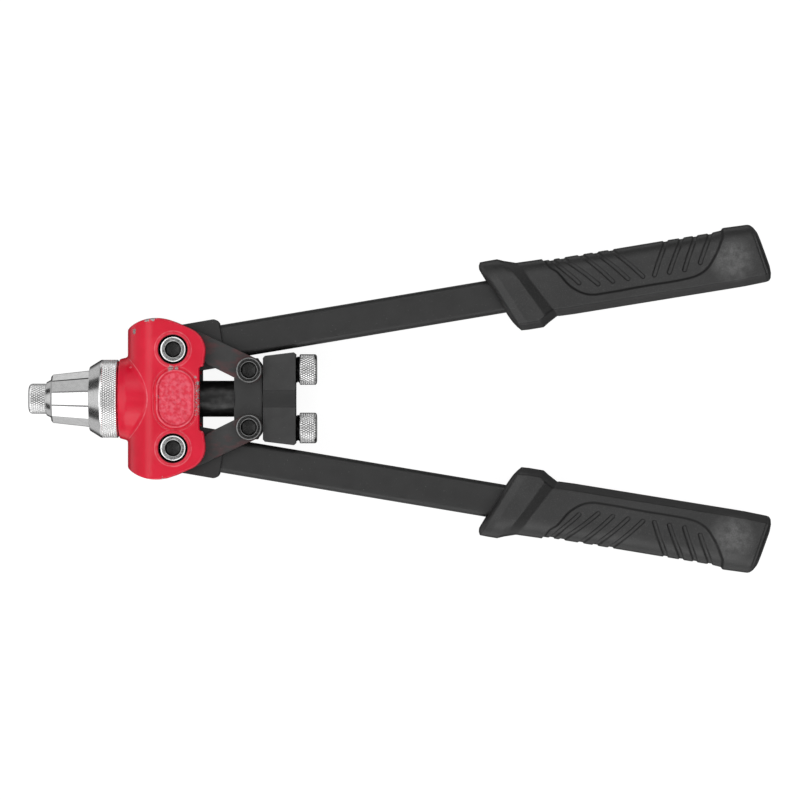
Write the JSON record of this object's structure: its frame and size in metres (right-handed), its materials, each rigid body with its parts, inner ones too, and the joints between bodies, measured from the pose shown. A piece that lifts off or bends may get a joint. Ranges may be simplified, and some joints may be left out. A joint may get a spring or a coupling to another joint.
{
  "type": "hand riveter",
  "caption": "Lever riveter for blind rivets: two long handles drive links and a crosshead that pull a hollow rod with gripping jaws through a ringed nose.",
  "frame": {"origin": "centre of the nosepiece's front face, on the tool's axis", "axes": "+X from the nose back between the handles, +Y towards the right handle, +Z out of the face with the oval boss"},
  "size_m": [0.2999, 0.1406, 0.0348],
  "materials": {
    "red_paint": "red stove enamel on a cast body, chipped along its edges",
    "black_paint": "satin black paint over steel",
    "black_steel": "oiled black oxide steel with a soft sheen",
    "polished_steel": "bright nickel-plated steel, knurled where it is gripped",
    "zinc_steel": "plain zinc-plated steel",
    "black_rubber": "matt black moulded grip"
  },
  "bodies": {
    "body": {"body_casting": "red_paint", "rod_guide_bush": "black_steel", "pivot_screws": "polished_steel", "pivot_nuts": "zinc_steel", "nose_housing": "polished_steel"},
    "lock_ring": {"lock_ring": "polished_steel"},
    "nosepiece": {"nosepiece": "polished_steel"},
    "puller": {"drawbar": "black_steel", "jaw_case": "black_steel", "jaw_spring": "zinc_steel", "crosshead": "black_steel", "nosepiece_holder": "black_paint", "link_screws": "black_steel", "link_nuts": "black_steel"},
    "jaw_pusher": {"jaw_pusher": "zinc_steel"},
    "jaw_1": {"jaw_1": "black_steel"},
    "jaw_2": {"jaw_2": "black_steel"},
    "jaw_3": {"jaw_3": "black_steel"},
    "spare_nosepiece_right": {"spare_nosepiece_right": "polished_steel"},
    "spare_nosepiece_left": {"spare_nosepiece_left": "polished_steel"},
    "right_link": {"right_link_front": "black_paint", "right_link_back": "black_paint"},
    "left_link": {"left_link_front": "black_paint", "left_link_back": "black_paint"},
    "right_handle": {"right_handle_socket": "black_paint", "right_handle_tube": "black_paint", "right_grip": "black_rubber", "right_crank_pin": "black_steel"},
    "left_handle": {"left_handle_socket": "black_paint", "left_handle_tube": "black_paint", "left_grip": "black_rubber", "left_crank_pin": "black_steel"}
  },
  "joints": [
    {"name": "right_handle_open", "type": "hinge", "parent": "body", "child": "right_handle", "pos_m": [0.059, 0.0198, 0], "axis": [0, 0, 1], "range_deg": [0, 60]},
    {"name": "left_handle_open", "type": "hinge", "parent": "body", "child": "left_handle", "pos_m": [0.059, -0.0198, 0], "axis": [0, 0, 1], "range_deg": [-60, 0]},
    {"name": "puller_advance", "type": "slide", "parent": "body", "child": "puller", "axis": [-1, 0, 0], "range_m": [0, 0.01105]},
    {"name": "right_link_swing", "type": "hinge", "parent": "puller", "child": "right_link", "pos_m": [0.0893, 0.0115, 0], "axis": [0, 0, 1], "range_deg": [-18.7, 0]},
    {"name": "left_link_swing", "type": "hinge", "parent": "puller", "child": "left_link", "pos_m": [0.0893, -0.0115, 0], "axis": [0, 0, 1], "range_deg": [0, 18.7]},
    {"name": "jaw_pusher_retract", "type": "slide", "parent": "puller", "child": "jaw_pusher", "axis": [1, 0, 0], "range_m": [0, 0.0019], "stiffness_N_per_m": 400, "springref_m": -0.004, "deforming": ["jaw_spring"]},
    {"name": "jaw_1_open", "type": "slide", "parent": "puller", "child": "jaw_1", "axis": [0.9848, 0, 0.1736], "range_m": [0, 0.00195]},
    {"name": "jaw_2_open", "type": "slide", "parent": "puller", "child": "jaw_2", "axis": [0.9848, -0.1504, -0.0868], "range_m": [0, 0.00195]},
    {"name": "jaw_3_open", "type": "slide", "parent": "puller", "child": "jaw_3", "axis": [0.9848, 0.1504, -0.0868], "range_m": [0, 0.00195]},
    {"name": "nosepiece_unscrew", "type": "slide", "parent": "body", "child": "nosepiece", "axis": [-1, 0, 0], "range_m": [0, 0.008]},
    {"name": "lock_ring_unscrew", "type": "slide", "parent": "body", "child": "lock_ring", "axis": [-1, 0, 0], "range_m": [0, 0.008]},
    {"name": "spare_nosepiece_right_unscrew", "type": "slide", "parent": "puller", "child": "spare_nosepiece_right", "axis": [1, 0, 0], "range_m": [0, 0.009]},
    {"name": "spare_nosepiece_left_unscrew", "type": "slide", "parent": "puller", "child": "spare_nosepiece_left", "axis": [1, 0, 0], "range_m": [0, 0.009]}
  ],
  "couplings": [
    {"joint": "left_handle_open", "follows": "right_handle_open", "ratio": -1},
    {"joint": "puller_advance", "follows": "right_handle_open", "m_per_rad": 0.010542},
    {"joint": "right_link_swing", "follows": "right_handle_open", "ratio": -0.31},
    {"joint": "left_link_swing", "follows": "right_handle_open", "ratio": 0.31},
    {"joint": "jaw_1_open", "follows": "jaw_pusher_retract", "ratio": 1.0154},
    {"joint": "jaw_2_open", "follows": "jaw_pusher_retract", "ratio": 1.0154},
    {"joint": "jaw_3_open", "follows": "jaw_pusher_retract", "ratio": 1.0154}
  ]
}
